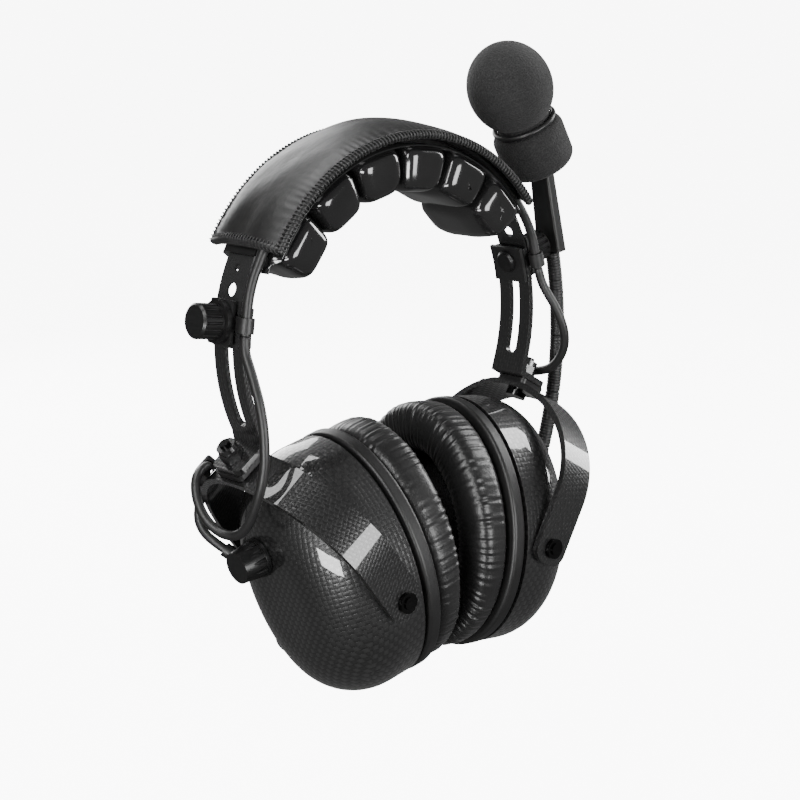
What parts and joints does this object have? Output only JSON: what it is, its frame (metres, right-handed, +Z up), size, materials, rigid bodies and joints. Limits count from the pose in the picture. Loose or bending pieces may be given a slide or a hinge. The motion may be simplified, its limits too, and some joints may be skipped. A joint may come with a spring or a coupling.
{
  "type": "aviation headset",
  "caption": "Over-ear aviation headset with a padded spring headband, sliding arms, forked ear cups, gooseneck boom microphone and volume knob.",
  "frame": {"origin": "underside of the headband's crown pad at mid-width, where the headset rests on the head", "axes": "+Z up, -Y the way the wearer faces, +X the wearer's left (boom side), -X the wearer's right (volume side)"},
  "size_m": [0.1936, 0.092, 0.2394],
  "materials": {
    "band_steel": "satin black",
    "carbon": "woven carbon laminate under gloss lacquer",
    "cover_fabric": "satin weave",
    "vinyl": "gloss vinyl skin over air cells",
    "leatherette": "satin, radially gathered",
    "black_plastic": "matte moulded",
    "black_metal": "black anodised",
    "steel": "plated",
    "cable_rubber": "satin",
    "foam": "open-cell foam",
    "speaker_mat": "matte"
  },
  "bodies": {
    "headband": {"spring_band": "band_steel", "cover_liner": "cover_fabric", "head_cover": "cover_fabric", "head_cushion": "vinyl", "cushion_backing": "black_plastic", "clamp_inner_plates": "black_plastic", "clamp_bolts": "steel", "clamp_outer_plates": "black_plastic", "cable_clips": "cable_rubber", "crown_cable": "cable_rubber"},
    "left_knob": {"left_clamp_knob": "black_metal"},
    "left_slider": {"left_arm": "carbon", "left_swivel_screw": "steel", "left_swivel_nut": "steel", "left_swivel_spacer": "black_plastic", "left_cable_loop": "cable_rubber"},
    "left_fork": {"left_yoke": "carbon", "left_cable_guides": "black_plastic", "left_cup_cable": "cable_rubber"},
    "left_cup": {"left_cup_shell": "carbon", "left_flange_ring": "black_plastic", "left_ear_seal": "leatherette", "left_speaker_baffle": "black_plastic", "left_speaker": "speaker_mat", "left_acoustic_foam": "foam", "left_ear_foam": "foam", "left_pivots": "black_metal", "left_cup_gland": "cable_rubber", "boom_screw": "black_metal"},
    "right_knob": {"right_clamp_knob": "black_metal"},
    "right_slider": {"right_arm": "carbon", "right_swivel_screw": "steel", "right_swivel_nut": "steel", "right_swivel_spacer": "black_plastic", "right_cable_loop": "cable_rubber"},
    "right_fork": {"right_yoke": "carbon", "right_cable_guides": "black_plastic", "right_cup_cable": "cable_rubber"},
    "right_cup": {"right_cup_shell": "carbon", "right_flange_ring": "black_plastic", "right_ear_seal": "leatherette", "right_speaker_baffle": "black_plastic", "right_speaker": "speaker_mat", "right_acoustic_foam": "foam", "right_ear_foam": "foam", "right_pivots": "black_metal", "right_cup_gland": "cable_rubber", "volume_pot": "steel", "comms_socket": "black_metal"},
    "volume": {"volume_knob": "black_plastic"},
    "boom": {"boom_base": "black_plastic", "boom_flex_1": "black_metal"},
    "boom_second": {"boom_flex_2": "black_metal"},
    "boom_third": {"boom_flex_3": "black_metal"},
    "microphone": {"boom_flex_4": "black_metal", "mic_body": "black_plastic", "mic_capsule": "black_metal", "mic_muff": "foam", "mic_ring": "cable_rubber"}
  },
  "joints": [
    {"name": "left_arm_slide", "type": "hinge", "parent": "headband", "child": "left_slider", "pos_m": [0, 0, -0.053], "axis": [0, -1, 0], "range_deg": [0, 22], "deforming": ["left_cable_loop"]},
    {"name": "left_clamp_turn", "type": "hinge", "parent": "headband", "child": "left_knob", "pos_m": [0.08314, 0, -0.03533], "axis": [0.9781, 0, 0.2079], "range_deg": [0, 360]},
    {"name": "left_yoke_swivel", "type": "hinge", "parent": "left_slider", "child": "left_fork", "pos_m": [0.07555, 0, -0.08828], "axis": [0.5519, 0, 0.8339], "range_deg": [-6, 6]},
    {"name": "left_cup_tilt", "type": "hinge", "parent": "left_fork", "child": "left_cup", "pos_m": [0.03879, 0, -0.14382], "axis": [0, -1, 0], "range_deg": [0, 1.4], "deforming": ["left_cup_cable"]},
    {"name": "right_arm_slide", "type": "hinge", "parent": "headband", "child": "right_slider", "pos_m": [0, 0, -0.053], "axis": [0, 1, 0], "range_deg": [0, 22], "deforming": ["right_cable_loop"]},
    {"name": "right_clamp_turn", "type": "hinge", "parent": "headband", "child": "right_knob", "pos_m": [-0.08314, 0, -0.03533], "axis": [-0.9781, 0, 0.2079], "range_deg": [0, 360]},
    {"name": "right_yoke_swivel", "type": "hinge", "parent": "right_slider", "child": "right_fork", "pos_m": [-0.07555, 0, -0.08828], "axis": [-0.5519, 0, 0.8339], "range_deg": [-6, 6]},
    {"name": "right_cup_tilt", "type": "hinge", "parent": "right_fork", "child": "right_cup", "pos_m": [-0.03879, 0, -0.14382], "axis": [0, 1, 0], "range_deg": [0, 7], "deforming": ["right_cup_cable"]},
    {"name": "volume_turn", "type": "hinge", "parent": "right_cup", "child": "volume", "pos_m": [-0.07207, 0.00098, -0.13055], "axis": [-0.9877, 0, -0.1564], "range_deg": [-150, 150]},
    {"name": "boom_turn", "type": "hinge", "parent": "left_cup", "child": "boom", "pos_m": [0.07042, 0.00099, -0.14095], "axis": [0.9877, 0, -0.1564], "range_deg": [0, 140]},
    {"name": "boom_flex_turn_1", "type": "hinge", "parent": "boom", "child": "boom_second", "pos_m": [0.09063, 0.001, -0.11064], "axis": [1, 0, 0], "range_deg": [-8, 8]},
    {"name": "boom_flex_turn_2", "type": "hinge", "parent": "boom_second", "child": "boom_third", "pos_m": [0.09627, 0.001, -0.08716], "axis": [1, 0, 0], "range_deg": [-8, 8]},
    {"name": "boom_flex_turn_3", "type": "hinge", "parent": "boom_third", "child": "microphone", "pos_m": [0.09827, 0.001, -0.06309], "axis": [1, 0, 0], "range_deg": [-8, 8]}
  ],
  "couplings": [
    {"joint": "boom_flex_turn_2", "follows": "boom_flex_turn_1", "ratio": 1},
    {"joint": "boom_flex_turn_3", "follows": "boom_flex_turn_1", "ratio": 1}
  ]
}
